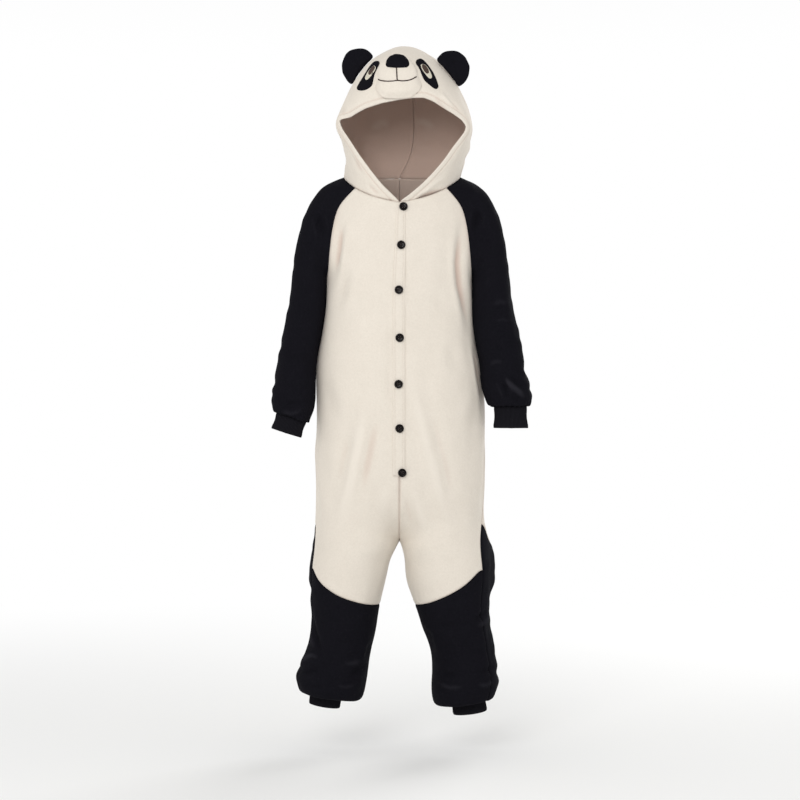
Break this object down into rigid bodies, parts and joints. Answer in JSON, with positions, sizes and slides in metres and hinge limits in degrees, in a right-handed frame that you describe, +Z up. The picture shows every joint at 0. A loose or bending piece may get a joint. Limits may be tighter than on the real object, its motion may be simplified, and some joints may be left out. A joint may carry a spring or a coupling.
{
  "type": "panda costume",
  "caption": "Hooded one-piece fleece suit in its hollow worn form, with raglan sleeves, rib cuffs, a button front, and a padded animal face and ears on the hood.",
  "frame": {"origin": "middle of the neck opening, at the height of the wearer's shoulders that hold the suit up", "axes": "+Z up the standing wearer, -Y ahead of the wearer, +X to the wearer's left"},
  "size_m": [0.5324, 0.2623, 1.3652],
  "materials": {
    "cream_fleece": "matte brushed fleece",
    "black_fleece": "matte brushed fleece",
    "black_rib": "matte knitted rib",
    "button_plastic": "glossy"
  },
  "bodies": {
    "root": {"ankle_cuff_left": "black_rib", "ankle_cuff_right": "black_rib", "back_left": "cream_fleece", "back_right": "cream_fleece", "button_1": "button_plastic", "button_2": "button_plastic", "button_3": "button_plastic", "button_4": "button_plastic", "button_5": "button_plastic", "button_6": "button_plastic", "button_7": "button_plastic", "ear_left": "black_fleece", "ear_right": "black_fleece", "eye_patch_left": "black_fleece", "eye_patch_right": "black_fleece", "front_left": "cream_fleece", "front_right": "cream_fleece", "hood_back_left": "cream_fleece", "hood_back_right": "cream_fleece", "hood_face": "cream_fleece", "leg_back_left": "black_fleece", "leg_back_right": "black_fleece", "muzzle": "cream_fleece", "nose": "black_fleece", "placket": "cream_fleece", "shin_front_left": "black_fleece", "shin_front_right": "black_fleece", "sleeve_left": "black_fleece", "sleeve_right": "black_fleece", "wrist_cuff_left": "black_rib", "wrist_cuff_right": "black_rib"}
  },
  "joints": []
}
